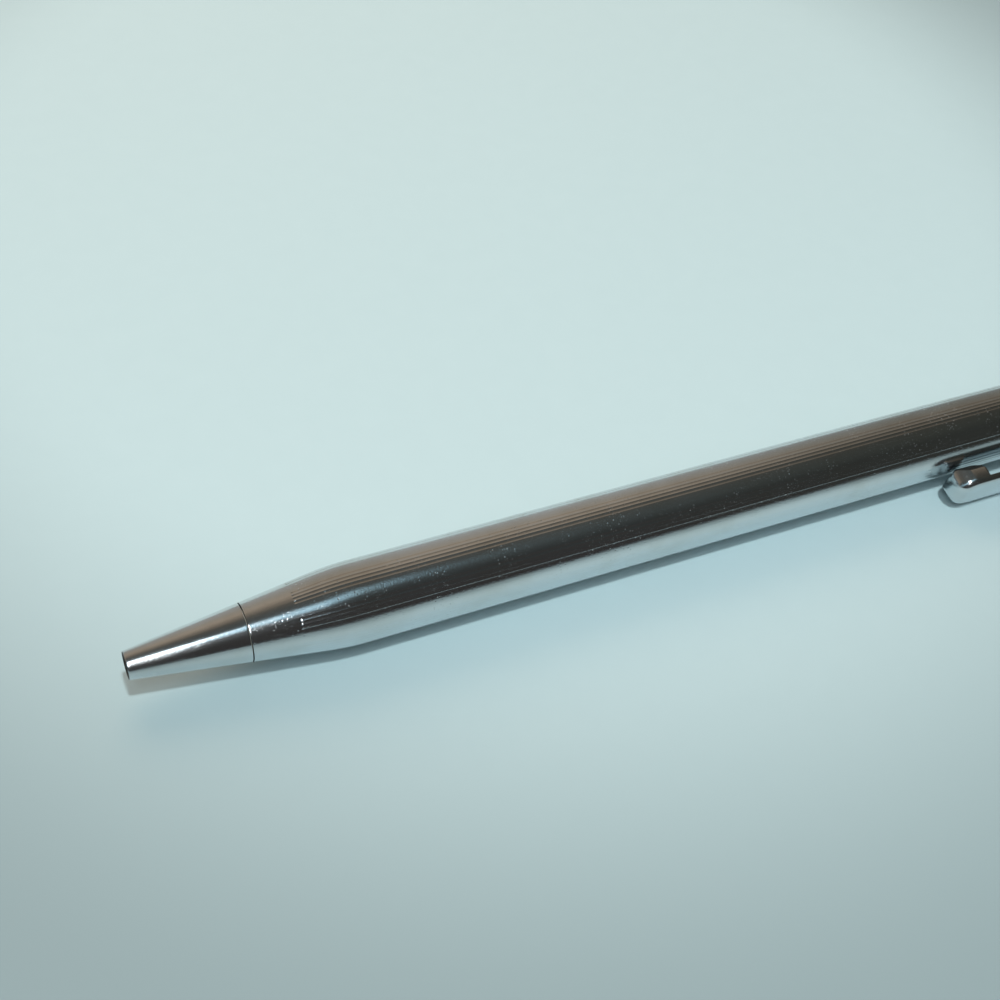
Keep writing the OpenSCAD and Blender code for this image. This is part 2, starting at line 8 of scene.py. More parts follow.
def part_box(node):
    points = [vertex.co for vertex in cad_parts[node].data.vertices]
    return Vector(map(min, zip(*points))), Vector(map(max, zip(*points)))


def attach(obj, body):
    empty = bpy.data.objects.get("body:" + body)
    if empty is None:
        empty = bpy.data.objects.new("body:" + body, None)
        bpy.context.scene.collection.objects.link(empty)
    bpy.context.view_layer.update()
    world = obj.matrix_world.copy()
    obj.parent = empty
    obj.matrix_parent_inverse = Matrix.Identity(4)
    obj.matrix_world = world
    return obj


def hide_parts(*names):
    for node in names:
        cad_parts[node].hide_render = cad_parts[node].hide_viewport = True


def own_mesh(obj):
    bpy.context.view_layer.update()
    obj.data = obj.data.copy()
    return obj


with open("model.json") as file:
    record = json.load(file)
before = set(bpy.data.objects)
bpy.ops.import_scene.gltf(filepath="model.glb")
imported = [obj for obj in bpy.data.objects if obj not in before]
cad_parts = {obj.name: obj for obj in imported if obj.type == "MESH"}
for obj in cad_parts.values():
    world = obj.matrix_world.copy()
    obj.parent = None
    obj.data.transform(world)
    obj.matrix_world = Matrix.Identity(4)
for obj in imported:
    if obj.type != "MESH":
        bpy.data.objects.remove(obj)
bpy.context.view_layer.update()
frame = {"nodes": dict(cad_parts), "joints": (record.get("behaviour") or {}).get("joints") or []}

# Point ball.
# A ball of hard carbide, one millimetre across, ground and lapped to a mirror.
# It sits loose in the cup of the point and rolls there in a film of ink.
ball_low, ball_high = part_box("point_ball")
ball_middle = (ball_low + ball_high) / 2
ball_r = (ball_high.x - ball_low.x) / 2
ball_tone = (0.46, 0.46, 0.48, 1)
sharp_angle = math.radians(35)
VECTOR = "NodeSocketVector"
VALUE = "NodeSocketFloat"
COLOUR = "NodeSocketColor"


def put(tree, kind, settings=None, inputs=None):
    """One node with its settings, and with each input set to a value or linked to a socket."""
    node = tree.nodes.new(kind)
    for name, value in (settings or {}).items():
        setattr(node, name, value)
    for name, value in (inputs or {}).items():
        if isinstance(value, bpy.types.NodeSocket):
            tree.links.new(value, node.inputs[name])
        else:
            node.inputs[name].default_value = value
    return node


def maths(tree, operation, *values):
    """The result of one sum, in which each value is a number or a socket."""
    return put(tree, "ShaderNodeMath", {"operation": operation}, dict(enumerate(values))).outputs[0]


def noise(tree, place, scale, detail, roughness=0.5):
    """Cloudy noise about a half, the finer the larger the scale."""
    node = put(tree, "ShaderNodeTexNoise", inputs={
        "Vector": place, "Scale": scale, "Detail": detail, "Roughness": roughness})
    return node.outputs["Fac"]


def effect(name, inputs, outputs):
    """An empty shader node group with named inputs and outputs, and the sockets that its inputs give."""
    tree = bpy.data.node_groups.new(name, "ShaderNodeTree")
    for label, kind in inputs:
        tree.interface.new_socket(label, in_out="INPUT", socket_type=kind)
    for label, kind in outputs:
        tree.interface.new_socket(label, in_out="OUTPUT", socket_type=kind)
    return tree, put(tree, "NodeGroupInput").outputs


# Tool marks: rings of uneven depth along the pen's axis, as a lathe leaves them.
marks, marks_in = effect(
    "tool_marks",
    [("Place", VECTOR), ("Rings per metre", VALUE), ("Roughness", VALUE), ("Spread", VALUE)],
    [("Roughness", VALUE), ("Height", VALUE)],
)
marks_split = put(marks, "ShaderNodeSeparateXYZ", inputs={"Vector": marks_in["Place"]})
marks_rings = put(marks, "ShaderNodeTexNoise", {"noise_dimensions": "1D"}, {
    "W": marks_split.outputs["X"], "Scale": marks_in["Rings per metre"], "Detail": 2.0}).outputs["Fac"]
marks_blotch = noise(marks, marks_in["Place"], scale=900.0, detail=3.0)
marks_sum = maths(marks, "ADD", marks_rings, marks_blotch)
put(marks, "NodeGroupOutput", inputs={
    "Roughness": maths(marks, "MULTIPLY_ADD", marks_sum, marks_in["Spread"], marks_in["Roughness"]),
    "Height": marks_rings})


def finish_from(name, skin, depth, marks_of_skin, plain):
    """A material that takes an effect's marks on its own coordinates, and plain values on its shader."""
    made = bpy.data.materials.new(name)
    made.use_nodes = True
    tree = made.node_tree
    shader = tree.nodes["Principled BSDF"]
    for label, value in plain.items():
        shader.inputs[label].default_value = value
    place = put(tree, "ShaderNodeTexCoord").outputs["Object"]
    given = put(tree, "ShaderNodeGroup", {"node_tree": skin}, {"Place": place, **marks_of_skin}).outputs
    for label, taken_by in (("Colour", "Base Color"), ("Roughness", "Roughness"), ("Metallic", "Metallic")):
        if label in given:
            tree.links.new(given[label], shader.inputs[taken_by])
    bump = put(tree, "ShaderNodeBump", inputs={"Height": given["Height"], "Distance": depth})
    tree.links.new(bump.outputs["Normal"], shader.inputs["Normal"])
    return made


def turned_metal(name, tone, roughness, spread, rings, ring_depth):
    """Metal as it comes from the lathe, with its tool marks left on it."""
    cuts = {"Rings per metre": rings, "Roughness": roughness, "Spread": spread}
    return finish_from(name, marks, ring_depth, cuts, {"Base Color": tone, "Metallic": 1.0})


def piece(name, shape, material, body, slot, *nodes):
    """The finished mesh as an object that rides on its body and stands for its CAD nodes."""
    bmesh.ops.recalc_face_normals(shape, faces=shape.faces)
    mesh = bpy.data.meshes.new(name)
    shape.to_mesh(mesh)
    shape.free()
    mesh.shade_smooth()
    mesh.set_sharp_from_angle(angle=sharp_angle)
    mesh.materials.append(material)
    made = bpy.data.objects.new(name, mesh)
    bpy.context.scene.collection.objects.link(made)
    even = made.modifiers.new("even_normals", "WEIGHTED_NORMAL")
    even.keep_sharp = True
    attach(made, body)
    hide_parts(*nodes)
    return made


ball_shape = bmesh.new()
bmesh.ops.create_icosphere(ball_shape, subdivisions=4, radius=ball_r,
                           matrix=Matrix.Translation(ball_middle))
carbide = turned_metal("ground_carbide", ball_tone, roughness=0.10, spread=0.06,
                       rings=9000.0, ring_depth=0.0000002)
piece("ball", ball_shape, carbide, "ball", "ball_metal", "point_ball")

# Writing point.
# A little turned part of nickel silver with a cup for the ball, a shank and a collar.
# Its tail is pressed into the slim tube of the refill.
MM = 0.001
weld = 0.0005 * MM
tip_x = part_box("nose_cone")[0].x
barrel_low, barrel_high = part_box("barrel")
axis_y = (barrel_low.y + barrel_high.y) / 2
axis_z = (barrel_low.z + barrel_high.z) / 2


def station_at(x):
    """How far a place along the pen is from its tip, in mm."""
    return (x - tip_x) / MM


point_low, point_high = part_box("point_socket")
point_from = station_at(point_low.x)
point_to = station_at(point_high.x)
point_steps = 96
point_lip_r = 0.62
point_shank_r = 0.925
point_collar_r = (point_high.z - point_low.z) / 2 / MM
point_tail_r = 0.94
cup_gap = 0.01
point_cup_r = ball_r / MM + cup_gap
point_feed_r = 0.4
point_taper = 2.3
point_collar_at = 13.05
point_tail_at = 14.05
point_round = 0.1
point_collar_round = 0.05
point_ball_at = station_at(ball_middle.x)
point_tone = (0.66, 0.64, 0.58, 1)
cup_steps = 10
cup_from = math.acos((point_ball_at - point_from) / point_cup_r)
cup_to = math.pi - math.asin(point_feed_r / point_cup_r)


def turned(outline, steps, angle=math.tau):
    """A shape turned about the pen's axis from a closed outline of station, radius and rounding in mm."""
    shape = bmesh.new()
    corners = []
    for station, radius, rounding in outline:
        corner = shape.verts.new((tip_x + station * MM, axis_y, axis_z + radius * MM))
        corners.append((corner, rounding))
    for (one, _), (other, _) in zip(corners, corners[1:] + corners[:1]):
        shape.edges.new((one, other))
    for size in sorted({rounding for _, rounding in corners if rounding > 0}):
        round_ones = [corner for corner, rounding in corners if rounding == size]
        bmesh.ops.bevel(shape, geom=round_ones, offset=size * MM, offset_type="OFFSET", affect="VERTICES",
                        segments=5, profile=0.5, material=-1)
    bmesh.ops.spin(shape, geom=shape.verts[:] + shape.edges[:], cent=(0, axis_y, axis_z), axis=(1, 0, 0),
                   angle=angle, steps=steps, use_merge=angle == math.tau)
    bmesh.ops.remove_doubles(shape, verts=shape.verts, dist=weld)
    return shape


cup = []
for step in range(cup_steps + 1):
    turn = cup_from + (cup_to - cup_from) * step / cup_steps
    cup.append((point_ball_at - point_cup_r * math.cos(turn), point_cup_r * math.sin(turn), 0))
point_shape = turned(cup + [
    (point_to, point_feed_r, 0),
    (point_to, point_tail_r, point_round),
    (point_tail_at, point_tail_r, 0),
    (point_tail_at, point_collar_r, point_collar_round),
    (point_collar_at, point_collar_r, point_collar_round),
    (point_collar_at, point_shank_r, 0),
    (point_from + point_taper, point_shank_r, point_round),
    (point_from, point_lip_r, 0),
], point_steps)
nickel_silver = turned_metal("nickel_silver", point_tone, roughness=0.16, spread=0.10,
                             rings=12000.0, ring_depth=0.0000006)
piece("writing_point", point_shape, nickel_silver, "refill", "point_metal", "point_socket")

# Return spring.
# Hard drawn steel wire wound into a coil, with a closed turn at each end.
# It sits between a step inside the nose cone and the refill's shoulder, and the button squeezes it.
spring_low, spring_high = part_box("return_spring")
spring_len = spring_high.x - spring_low.x
spring_tone = (0.55, 0.55, 0.57, 1)
wire_r = 0.175 * MM
wire_sides = 12
coil_r = (spring_high.y - spring_low.y) / 2 - wire_r
coil_steps = 36
closed_pitch = 1.2 * 2 * wire_r
work_turns = 9
work_pitch = (spring_len - 2 * wire_r - 2 * closed_pitch) / work_turns


def joint_row(name):
    """The frame's row for a joint."""
    return next(row for row in frame["joints"] if row["name"] == name)


spring_start = Vector((spring_low.x + wire_r, axis_y + coil_r, axis_z))
coil = bmesh.new()
bmesh.ops.create_circle(coil, cap_ends=True, segments=wire_sides, radius=wire_r,
                        matrix=Matrix.Translation(spring_start))
lead_edges = coil.edges[:]
for turns, pitch in ((1, closed_pitch), (work_turns, work_pitch), (1, closed_pitch)):
    wound = bmesh.ops.spin(coil, geom=lead_edges, cent=(0, axis_y, axis_z), axis=(1, 0, 0),
                           dvec=(pitch / coil_steps, 0, 0), angle=math.tau * turns,
                           steps=coil_steps * turns)
    lead_edges = [item for item in wound["geom_last"] if isinstance(item, bmesh.types.BMEdge)]
bmesh.ops.contextual_create(coil, geom=lead_edges)
spring_steel = turned_metal("drawn_spring_wire", spring_tone, roughness=0.22, spread=0.12,
                            rings=5000.0, ring_depth=0.0000005)
spring = piece("spring", coil, spring_steel, "case", "spring_steel", "return_spring")
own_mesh(spring)

# Nose cone.
# A brass bar turned to a fine taper, bored for the point and the spring, polished and bright plated.
# Its screwed spigot goes into the front of the barrel, so that only a fine dark joint shows.
turn_steps = 192
nose_len = station_at(barrel_low.x)
tip_r = 1.3
tip_round = 0.13
tip_hold = 0.35
tip_hole_r = 1.0
tip_land = 2.5
mouth_round = 0.06
mouth_edge = 0.07
cone_slope = math.radians(7.66)
cone_rise = math.tan(cone_slope)
seam_r = tip_r + nose_len * cone_rise
seam_gap = 0.09
seam_hold = 0.2
seam_bevel = 0.03
grime_edge = 0.012
seam_grime = seam_gap / 2 + grime_edge
spigot_end = station_at(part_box("nose_cone")[1].x)
spigot_r = 2.409
relief_r = 2.159
relief_w = 0.8
guide_r = 1.45
chamber_r = 1.85
spring_seat = station_at(spring_low.x)
thread_from = nose_len + relief_w
thread_pitch = 0.6
thread_depth = 0.16
thread_rings = 6
thread_steps = int((spigot_end - thread_from) / thread_pitch * thread_rings)
tip_worn_full = 1
tip_worn_to = 8
plate_tone = (0.70, 0.73, 0.75, 1)
smear_tone = (0.62, 0.63, 0.62, 1)
grime_tone = (0.03, 0.032, 0.032, 1)
# A dark tone that paints shade into the tip's bore and onto the front of its mouth.
bore_painted_shade_tone = (0.07, 0.065, 0.06, 1)
painted_shade_index = 1
plate_relief = 0.00001
grain_dulls = 0.1
speck_dulls = 0.2
grime_dulls = 0.5
speck_bares = 0.3
speck_depth = 2.5


def fade(tree, value, low, high, smooth=False):
    """A value's way from low to high, as 0 to 1 and held there beyond them."""
    settings = {"interpolation_type": "SMOOTHSTEP" if smooth else "LINEAR"}
    node = put(tree, "ShaderNodeMapRange", settings, {"Value": value, "From Min": low, "From Max": high})
    return node.outputs["Result"]


def mixed(tree, share, one, other, way="MIX"):
    """Two colours put together, with the share of the second from 0 to 1."""
    settings = {"data_type": "RGBA", "blend_type": way}
    return put(tree, "ShaderNodeMix", settings, {0: share, 6: one, 7: other}).outputs[2]


# Handling marks on a bright plated skin: a fine grain, hairlines along the pen, fine specks in patches,
# faint smears, a worn end between two stations and dark grime in a joint.
worn, worn_in = effect(
    "handling_marks",
    [("Place", VECTOR), ("Tone", COLOUR), ("Smear tone", COLOUR), ("Grime tone", COLOUR),
     ("Roughness", VALUE), ("Smear", VALUE), ("Hairlines", VALUE), ("Specks", VALUE), ("Grain", VALUE),
     ("Wear", VALUE), ("Wear ends", VALUE), ("Wear full", VALUE), ("Joint", VALUE), ("Joint width", VALUE)],
    [("Colour", COLOUR), ("Roughness", VALUE), ("Metallic", VALUE), ("Height", VALUE)],
)
smear_cloud = noise(worn, worn_in["Place"], scale=160.0, detail=5.0, roughness=0.6)
smears = fade(worn, smear_cloud, low=0.45, high=0.75)
line_place = put(worn, "ShaderNodeMapping", inputs={
    "Vector": worn_in["Place"], "Scale": (60.0, 5200.0, 5200.0)})
line_cloud = noise(worn, line_place.outputs["Vector"], scale=1.0, detail=1.0)
line_streaks = fade(worn, line_cloud, low=0.60, high=0.74)
hairlines = maths(worn, "MULTIPLY", line_streaks, worn_in["Hairlines"])
speck_cells = put(worn, "ShaderNodeTexVoronoi", inputs={
    "Vector": worn_in["Place"], "Scale": 4400.0, "Randomness": 1.0})
speck_dots = fade(worn, speck_cells.outputs["Distance"], low=0.42, high=0.08)
speck_draw = put(worn, "ShaderNodeSeparateColor", inputs={"Color": speck_cells.outputs["Color"]})
speck_some = fade(worn, speck_draw.outputs["Red"], low=0.55, high=1.0)
patch_cloud = noise(worn, worn_in["Place"], scale=260.0, detail=2.0)
speck_patches = fade(worn, patch_cloud, low=0.38, high=0.62)
speck_mask = maths(worn, "MULTIPLY", maths(worn, "MULTIPLY", speck_dots, speck_some), speck_patches)
specks = maths(worn, "MULTIPLY", speck_mask, worn_in["Specks"])
grain_cloud = noise(worn, worn_in["Place"], scale=4800.0, detail=3.0)
fine_grain = maths(worn, "MULTIPLY", grain_cloud, worn_in["Grain"])
worn_split = put(worn, "ShaderNodeSeparateXYZ", inputs={"Vector": worn_in["Place"]})
worn_along = worn_split.outputs["X"]
worn_end = fade(worn, worn_along, worn_in["Wear ends"], worn_in["Wear full"], smooth=True)
in_joint = maths(worn, "COMPARE", worn_along, worn_in["Joint"], worn_in["Joint width"])
smear_rough = maths(worn, "MULTIPLY_ADD", smears, worn_in["Smear"], worn_in["Roughness"])
end_rough = maths(worn, "MULTIPLY_ADD", worn_end, worn_in["Wear"], smear_rough)
line_rough = maths(worn, "ADD", hairlines, end_rough)
grain_rough = maths(worn, "MULTIPLY_ADD", fine_grain, grain_dulls, line_rough)
speck_rough = maths(worn, "MULTIPLY_ADD", specks, speck_dulls, grain_rough)
smear_colour = mixed(worn, smears, worn_in["Tone"], worn_in["Smear tone"])
line_height = maths(worn, "SUBTRACT", fine_grain, hairlines)
put(worn, "NodeGroupOutput", inputs={
    "Colour": mixed(worn, in_joint, smear_colour, worn_in["Grime tone"]),
    "Roughness": maths(worn, "MULTIPLY_ADD", in_joint, grime_dulls, speck_rough),
    "Metallic": maths(worn, "MULTIPLY_ADD", specks, -speck_bares, 1.0),
    "Height": maths(worn, "MULTIPLY_ADD", specks, -speck_depth, line_height)})


def bright_plate(name, marks_of_use):
    """Bright plating over polished metal, with the marks of use that each piece has."""
    tones = {"Tone": plate_tone, "Smear tone": smear_tone, "Grime tone": grime_tone}
    return finish_from(name, worn, plate_relief, {**tones, **marks_of_use}, {})


def radius_of(place):
    """Distance of a point from the pen's axis, in mm."""
    return math.hypot(place.y - axis_y, place.z - axis_z) / MM


def set_radius(vert, radius):
    """Moves a vertex straight out or in to a radius from the pen's axis, in mm."""
    scale = radius / radius_of(vert.co)
    vert.co.y = axis_y + (vert.co.y - axis_y) * scale
    vert.co.z = axis_z + (vert.co.z - axis_z) * scale


thread_line = []
for step in range(1, thread_steps):
    thread_line.append((thread_from + (spigot_end - thread_from) * step / thread_steps, spigot_r, 0))
nose_shape = turned([
    (0, tip_hole_r, mouth_round),
    (0, tip_r, tip_round),
    (tip_hold, tip_r + tip_hold * cone_rise, 0),
    (nose_len - seam_hold, seam_r - seam_hold * cone_rise, 0),
    (nose_len - seam_gap / 2, seam_r - seam_gap / 2 * cone_rise, seam_bevel),
    (nose_len - seam_gap / 2, relief_r, 0),
    (thread_from, relief_r, 0),
    (thread_from, spigot_r, 0),
] + thread_line + [
    (spigot_end, spigot_r, 0),
    (spigot_end, chamber_r, 0),
    (spring_seat, chamber_r, 0),
    (spring_seat, guide_r, 0),
    (tip_land, tip_hole_r, 0),
], turn_steps)
for vert in nose_shape.verts:
    station = station_at(vert.co.x)
    on_thread = thread_from + thread_pitch < station < spigot_end - thread_pitch / 2
    if on_thread and radius_of(vert.co) > spigot_r - thread_depth:
        turn = math.atan2(vert.co.z - axis_z, vert.co.y - axis_y) / math.tau
        wind = (station / thread_pitch + turn) % 1
        set_radius(vert, spigot_r - thread_depth * (1 - abs(2 * wind - 1)))
nose_plate = bright_plate("bright_plate_nose", {
    "Roughness": 0.11, "Smear": 0.04, "Hairlines": 0.05, "Specks": 0.25, "Grain": 0.35,
    "Wear": 0.09, "Wear ends": tip_x + tip_worn_to * MM, "Wear full": tip_x + tip_worn_full * MM,
    "Joint": barrel_low.x, "Joint width": seam_grime * MM})
# The bore and the front half of the mouth's rounding take the dark finish, a painted shade that makes the
# hole look dark.
for face in nose_shape.faces:
    in_bore = max(radius_of(vert.co) for vert in face.verts) < tip_hole_r + mouth_edge
    at_mouth = max(vert.co.x - tip_x for vert in face.verts) < mouth_edge * MM
    if in_bore or at_mouth:
        face.material_index = painted_shade_index
nose = piece("nose", nose_shape, nose_plate, "case", "bright_chrome", "nose_cone")
painted_shade_bore = turned_metal("painted_shade_bore", bore_painted_shade_tone, roughness=0.40, spread=0.12,
                            rings=6000.0, ring_depth=0.000001)
nose.data.materials.append(painted_shade_bore)

# Barrel.
# A drawn brass tube with a tapered front, bright plated over groups of fine lines cut along it.
# Each group has four shallow scalloped cuts, and plain polished stripes lie between the groups.
barrel_r = (barrel_high.z - barrel_low.z) / 2 / MM
barrel_end = station_at(barrel_high.x)
barrel_bore_r = 3.35
barrel_wall = 0.55
lip_wall = 0.32
lip_r = seam_r - lip_wall
rear_r = 3.75
rear_bevel = 0.08
taper_at = 78
shoulder_len = 4
shoulder_mid = (barrel_r - tip_r) / cone_rise
shoulder_end = shoulder_mid + shoulder_len / 2
shoulder_arc = shoulder_len / 2 / math.tan(cone_slope / 2)
shoulder_from = shoulder_end - shoulder_arc * math.sin(cone_slope)
shoulder_steps = 16
wall_on_cone = barrel_wall / math.cos(cone_slope)
bore_cone_at = (lip_r + wall_on_cone - tip_r) / cone_rise
bore_full_at = (barrel_bore_r + wall_on_cone - tip_r) / cone_rise
line_from = 15.06
line_to = 112
line_run = 0.15
line_bite = 0.8
line_end_len = 3 * line_run
line_end_steps = 12
line_groups = 8
group_lines = 4
group_turn = 360 / line_groups
line_pitch = group_turn / 2 / group_lines
line_depth = 0.020
line_turn = 10.4
sector_steps = 128
clip_axis = joint_row("clip_flex")["axis"]
clip_dip = math.degrees(math.atan2(-clip_axis[1], clip_axis[2]))


def skin_r(station):
    """Radius of the barrel's plain skin at a station from the tip, in mm."""
    if station < shoulder_from:
        return tip_r + station * cone_rise
    if station < shoulder_end:
        return barrel_r - shoulder_arc + math.sqrt(shoulder_arc ** 2 - (shoulder_end - station) ** 2)
    if station < taper_at:
        return barrel_r
    return barrel_r + (rear_r - barrel_r) * (station - taper_at) / (barrel_end - taper_at)


def group_share(angle):
    """Depth of the lines around the barrel from 0 to 1, at an angle in degrees above the clip's side."""
    off = (angle - (line_turn - clip_dip) + group_turn / 2) % group_turn - group_turn / 2
    across = off / line_pitch + group_lines / 2
    if not 0 < across < group_lines:
        return 0
    return 1 - (2 * (across % 1) - 1) ** 2


def run_share(station):
    """Depth of the lines along the barrel, from 0 outside them to 1, with a deeper bite at each end."""
    inside = min(station - line_from, line_to - station) / line_run
    if inside <= 0:
        return 0
    rise = min(inside, 1)
    bite = max(0, 1 - (inside - 1) ** 2)
    return rise * rise * (3 - 2 * rise) * (1 + line_bite * bite)


skin_stations = [nose_len + seam_hold, taper_at]
for step in range(line_end_steps + 1):
    skin_stations.append(line_from + line_end_len * step / line_end_steps)
    skin_stations.append(line_to - line_end_len * step / line_end_steps)
for step in range(shoulder_steps + 1):
    skin_stations.append(shoulder_from + (shoulder_end - shoulder_from) * step / shoulder_steps)
barrel_shape = turned([
    (nose_len + seam_gap / 2, lip_r, 0),
    (nose_len + seam_gap / 2, skin_r(nose_len + seam_gap / 2), seam_bevel),
] + [(station, skin_r(station), 0) for station in sorted(skin_stations)] + [
    (barrel_end, rear_r, rear_bevel),
    (barrel_end, barrel_bore_r, 0),
    (bore_full_at, barrel_bore_r, 0),
    (bore_cone_at, lip_r, 0),
], sector_steps, math.tau / line_groups)
for vert in barrel_shape.verts:
    station = station_at(vert.co.x)
    depth = line_depth * run_share(station)
    if depth > 0 and radius_of(vert.co) > skin_r(station) - line_depth:
        angle = math.degrees(math.atan2(vert.co.z - axis_z, axis_y - vert.co.y))
        set_radius(vert, skin_r(station) - depth * group_share(angle))
bmesh.ops.spin(barrel_shape, geom=barrel_shape.verts[:] + barrel_shape.edges[:] + barrel_shape.faces[:],
               cent=(0, axis_y, axis_z), axis=(1, 0, 0), angle=math.tau * (line_groups - 1) / line_groups,
               steps=line_groups - 1, use_duplicate=True)
bmesh.ops.remove_doubles(barrel_shape, verts=barrel_shape.verts, dist=weld)
barrel_plate = bright_plate("bright_plate_barrel", {
    "Roughness": 0.12, "Smear": 0.05, "Hairlines": 0.06, "Specks": 0.6, "Grain": 0.5,
    "Joint": barrel_low.x, "Joint width": seam_grime * MM})
piece("barrel_tube", barrel_shape, barrel_plate, "case", "bright_chrome", "barrel")

# Clip band.
# A plated ring behind the barrel with a small lug on one side.
# The clip is fixed to the lug, and the end collar clamps the ring on the neck of the end bush.
band_low, band_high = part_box("clip_band")
band_from = station_at(band_low.x)
band_to = station_at(band_high.x)
band_r = 3.85
band_bore_r = 3.1
band_bevel = 0.08
band_grime = 0.02
lug_top = 4.3
lug_w = 2.6
lug_foot = 3.5
clip_turn = Matrix.Translation((0, axis_y, axis_z)) @ Matrix.Rotation(math.radians(90 + clip_dip), 4, "X")
band_shape = turned([
    (band_from, band_bore_r, 0),
    (band_from, band_r, band_bevel),
    (band_to, band_r, band_bevel),
    (band_to, band_bore_r, 0),
], turn_steps)
lug_size = Vector((band_to - band_from, lug_w, lug_top - lug_foot)) * MM
lug_middle = Vector((tip_x + (band_from + band_to) / 2 * MM, 0, (lug_top + lug_foot) / 2 * MM))
bmesh.ops.create_cube(band_shape, size=1, matrix=clip_turn @ Matrix.Translation(lug_middle)
                      @ Matrix.Diagonal((*lug_size, 1)))
trim_plate = bright_plate("bright_plate_trim", {
    "Roughness": 0.14, "Smear": 0.05, "Hairlines": 0.04, "Specks": 0.3, "Grain": 0.2,
    "Joint": band_low.x, "Joint width": band_grime * MM})
piece("band", band_shape, trim_plate, "case", "bright_chrome", "clip_band")

# Pocket clip.
# A strip of sheet metal bent down at its root, with a thick rounded free end, plated like the barrel.
# The root stands on the band's lug, and the foot under the free end keeps the clip to the pocket.
clip_low, clip_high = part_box("clip")
clip_end = station_at(clip_low.x)
clip_root = station_at(clip_high.x)
clip_len = clip_root - clip_end
clip_end_w = 4.6
clip_root_w = 4.7
clip_end_h = 7.0
clip_root_h = 6.95
clip_sheet = 0.7
clip_corner = 2.0
clip_edge = 0.62
clip_bend = 1.5
clip_worn_len = 6
root_gap = 0.02
fold_near = 0.05
foot_len = 3.5
foot_r = 2.75
foot_gap = 0.08
foot_low = barrel_r + foot_gap
foot_mid = foot_low + foot_len / 2
foot_blend = 0.12
foot_steps = 48
clip_nose = clip_end_h - foot_mid
crown_power = 3

# Shares of a face's normal that tell which way the face looks.
square_to = 0.9
some_outward = 0.6
little_sideways = 0.3


def clip_point(station, side, height):
    """A point of the clip in its upright place: along the pen, across the clip and out from the axis."""
    return Vector((tip_x + station * MM, side * MM, height * MM))


def outer_h(along):
    """Height of the clip's outer face over the pen's axis at a distance from the free end, in mm."""
    return clip_end_h + (clip_root_h - clip_end_h) * along / clip_len


def half_w(along):
    """Half the clip's width at a distance from the free end, with that end's rounding, in mm."""
    half = (clip_end_w + (clip_root_w - clip_end_w) * along / clip_len) / 2
    short = max(0, clip_corner - along)
    return half - clip_corner + math.sqrt(clip_corner ** 2 - short ** 2)


def corners_in(made):
    """The vertices among what an operator made."""
    return [item for item in made["geom"] if isinstance(item, bmesh.types.BMVert)]


def at_fold(vert):
    """True where the clip's outer face ends at the back of its root."""
    at_back = vert.co.x > tip_x + (clip_root - fold_near) * MM
    return at_back and vert.co.z > (clip_root_h - fold_near) * MM


def on_outside(face):
    """True for the clip's outer face, its fold and the back of its root."""
    outward = max(face.normal.x, face.normal.z)
    return abs(face.normal.y) < little_sideways and outward > some_outward


clip_shape = bmesh.new()
plan = []
for along, way in ((foot_len, -1), (foot_len, 1), (clip_len, 1), (clip_len, -1)):
    corner = clip_point(clip_end + along, way * half_w(along), outer_h(along) - clip_sheet)
    plan.append(clip_shape.verts.new(corner))
blank = clip_shape.faces.new(plan)
strip = bmesh.ops.extrude_face_region(clip_shape, geom=[blank])
bmesh.ops.translate(clip_shape, verts=corners_in(strip), vec=(0, 0, clip_sheet * MM))
bmesh.ops.bisect_plane(clip_shape, geom=clip_shape.verts[:] + clip_shape.edges[:] + clip_shape.faces[:],
                       dist=0.0001 * MM, plane_co=clip_point(barrel_end, 0, 0), plane_no=(1, 0, 0))
bmesh.ops.recalc_face_normals(clip_shape, faces=clip_shape.faces)
under = max((face for face in clip_shape.faces if face.normal.z < -square_to),
            key=lambda face: face.calc_center_median().x)
leg = bmesh.ops.extrude_face_region(clip_shape, geom=[under])
bmesh.ops.delete(clip_shape, geom=[under], context="FACES_ONLY")
for vert in corners_in(leg):
    vert.co.z = (lug_top + root_gap) * MM
bmesh.ops.recalc_face_normals(clip_shape, faces=clip_shape.faces)
fold = [edge for edge in clip_shape.edges if all(at_fold(vert) for vert in edge.verts)]
bmesh.ops.bevel(clip_shape, geom=fold, offset=clip_bend * MM, offset_type="OFFSET", affect="EDGES",
                segments=10, profile=0.5, material=-1)
clip_shape.normal_update()
rim = [edge for edge in clip_shape.edges if any(abs(face.normal.y) > square_to for face in edge.link_faces)
       and any(on_outside(face) for face in edge.link_faces)]
bmesh.ops.bevel(clip_shape, geom=rim, offset=clip_edge * MM, offset_type="OFFSET", affect="EDGES",
                segments=8, profile=0.5, material=-1, clamp_overlap=False)
bmesh.ops.transform(clip_shape, matrix=clip_turn, verts=clip_shape.verts)
clip_plate = bright_plate("bright_plate_clip", {
    "Roughness": 0.13, "Smear": 0.05, "Hairlines": 0.04, "Specks": 0.2, "Grain": 0.2, "Wear": 0.04,
    "Wear ends": tip_x + (clip_end + clip_worn_len) * MM, "Wear full": tip_x + clip_end * MM})
piece("pocket_clip", clip_shape, clip_plate, "clip", "bright_chrome", "clip")


def foot_height(along, side):
    """Height of the foot's underside over the pen's axis, rounded along the pen and across it, in mm."""
    run = foot_len / 2
    over_run = foot_mid - math.sqrt(max(0, run ** 2 - (along - run) ** 2))
    over_side = foot_low + foot_r - math.sqrt(foot_r ** 2 - side ** 2)
    return (over_run + over_side + math.sqrt((over_run - over_side) ** 2 + foot_blend ** 2)) / 2


